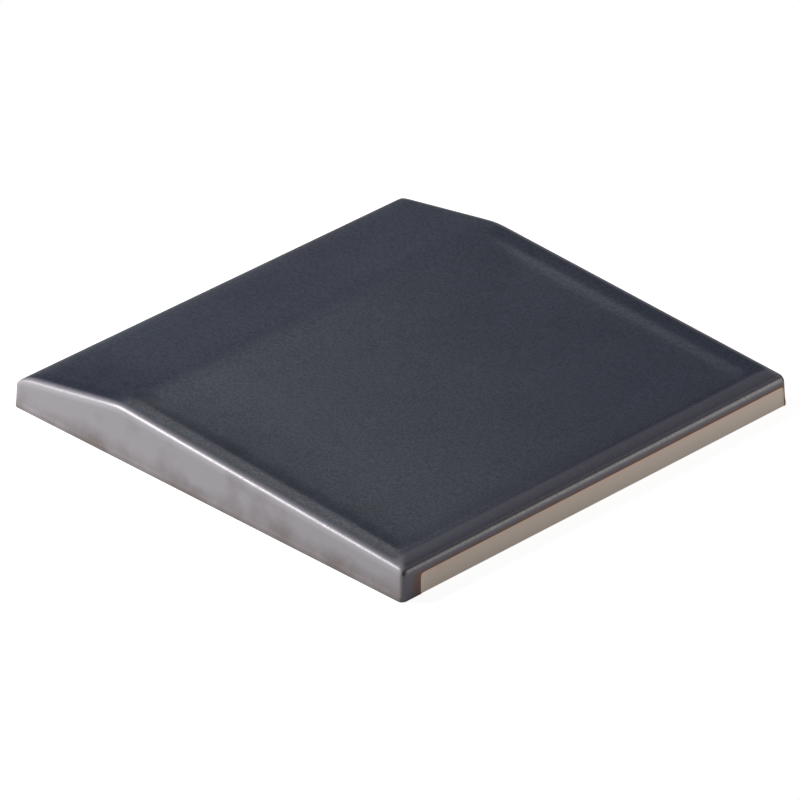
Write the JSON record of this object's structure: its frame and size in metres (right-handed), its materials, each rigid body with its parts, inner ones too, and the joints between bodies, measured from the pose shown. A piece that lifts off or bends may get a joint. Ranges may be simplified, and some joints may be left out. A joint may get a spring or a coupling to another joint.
{
  "type": "relief wall tile",
  "caption": "Square glazed ceramic wall tile with an off-centre ridge, a short steep slope and a long gentle one.",
  "frame": {"origin": "middle of the back face, which is the face that is bedded on the wall", "axes": "+Z from the back towards the glazed face, +X from the short steep slope across the ridge and down the long gentle slope, +Y along the ridge"},
  "size_m": [0.125, 0.125, 0.0137],
  "materials": {
    "glazed_clay": "satin slate blue-grey glaze over cream biscuit, which is bare on the two ends below the glaze"
  },
  "bodies": {
    "root": {"tile": "glazed_clay"}
  },
  "joints": []
}
